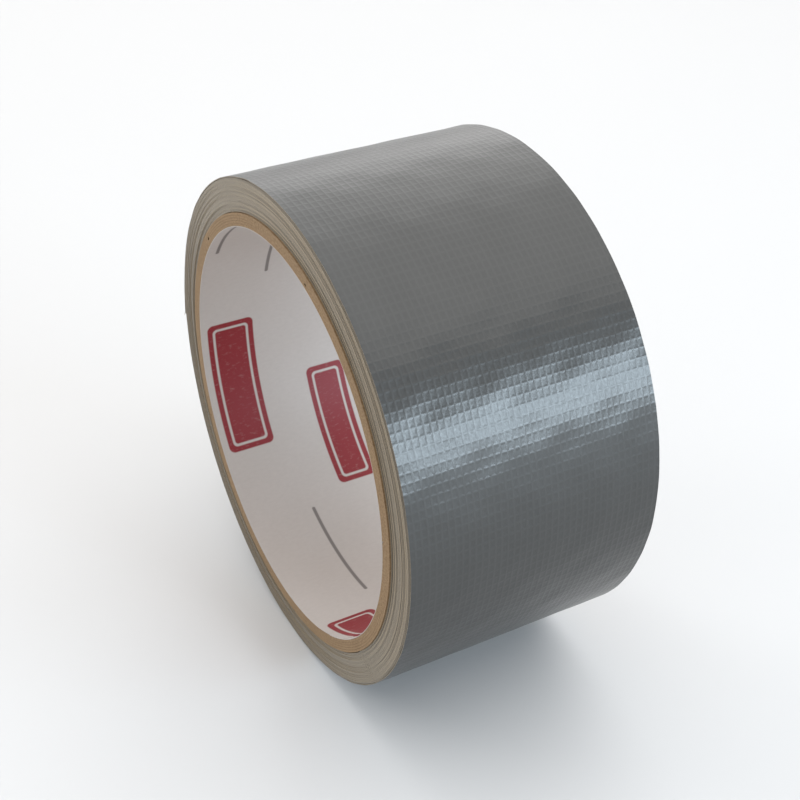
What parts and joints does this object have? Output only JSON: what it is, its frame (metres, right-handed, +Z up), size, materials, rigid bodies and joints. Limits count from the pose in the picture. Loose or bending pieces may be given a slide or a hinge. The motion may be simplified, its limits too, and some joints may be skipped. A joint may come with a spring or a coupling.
{
  "type": "duct tape roll",
  "caption": "Roll of silver cloth-backed duct tape, spiral wound on a paperboard core, with a free end that peels away from the roll.",
  "frame": {"origin": "centre of the core's bore, half way along it", "axes": "+Y along the core's axis, +Z up with the roll standing on its rim, and the free end of the tape on the -X side near the top"},
  "size_m": [0.0935, 0.0484, 0.0935],
  "materials": {
    "silver_film": "satin",
    "cloth_scrim": "matte",
    "adhesive": "satin",
    "core_board": "matte",
    "liner_paper": "satin"
  },
  "bodies": {
    "roll": {"core_liner": "liner_paper", "core_ply_1": "core_board", "core_ply_2": "core_board", "core_ply_3": "core_board", "core_ply_4": "core_board", "core_ply_5": "core_board", "wound_adhesive": "adhesive", "wound_cloth": "cloth_scrim", "wound_film": "silver_film", "last_turn_adhesive": "adhesive", "last_turn_cloth": "cloth_scrim", "last_turn_film": "silver_film"},
    "end_link_1": {"end_adhesive_1": "adhesive", "end_cloth_1": "cloth_scrim", "end_film_1": "silver_film"},
    "end_link_2": {"end_adhesive_2": "adhesive", "end_cloth_2": "cloth_scrim", "end_film_2": "silver_film"},
    "end_link_3": {"end_adhesive_3": "adhesive", "end_cloth_3": "cloth_scrim", "end_film_3": "silver_film"},
    "end_link_4": {"end_adhesive_4": "adhesive", "end_cloth_4": "cloth_scrim", "end_film_4": "silver_film"},
    "end_link_5": {"end_adhesive_5": "adhesive", "end_cloth_5": "cloth_scrim", "end_film_5": "silver_film"},
    "end_link_6": {"end_adhesive_6": "adhesive", "end_cloth_6": "cloth_scrim", "end_film_6": "silver_film"}
  },
  "joints": [
    {"name": "tape_end_peel", "type": "hinge", "parent": "roll", "child": "end_link_1", "pos_m": [-0.03308, 0, 0.03308], "axis": [0, 1, 0], "range_deg": [0, 25]},
    {"name": "tape_end_curl_1", "type": "hinge", "parent": "end_link_1", "child": "end_link_2", "pos_m": [-0.03697, 0, 0.02867], "axis": [0, 1, 0], "range_deg": [0, 25]},
    {"name": "tape_end_curl_2", "type": "hinge", "parent": "end_link_2", "child": "end_link_3", "pos_m": [-0.04028, 0, 0.02381], "axis": [0, 1, 0], "range_deg": [0, 25]},
    {"name": "tape_end_curl_3", "type": "hinge", "parent": "end_link_3", "child": "end_link_4", "pos_m": [-0.04295, 0, 0.01857], "axis": [0, 1, 0], "range_deg": [0, 25]},
    {"name": "tape_end_curl_4", "type": "hinge", "parent": "end_link_4", "child": "end_link_5", "pos_m": [-0.04494, 0, 0.01304], "axis": [0, 1, 0], "range_deg": [0, 25]},
    {"name": "tape_end_curl_5", "type": "hinge", "parent": "end_link_5", "child": "end_link_6", "pos_m": [-0.04622, 0, 0.0073], "axis": [0, 1, 0], "range_deg": [0, 25]}
  ],
  "couplings": [
    {"joint": "tape_end_curl_1", "follows": "tape_end_peel", "ratio": 1},
    {"joint": "tape_end_curl_2", "follows": "tape_end_peel", "ratio": 1},
    {"joint": "tape_end_curl_3", "follows": "tape_end_peel", "ratio": 1},
    {"joint": "tape_end_curl_4", "follows": "tape_end_peel", "ratio": 1},
    {"joint": "tape_end_curl_5", "follows": "tape_end_peel", "ratio": 1}
  ]
}
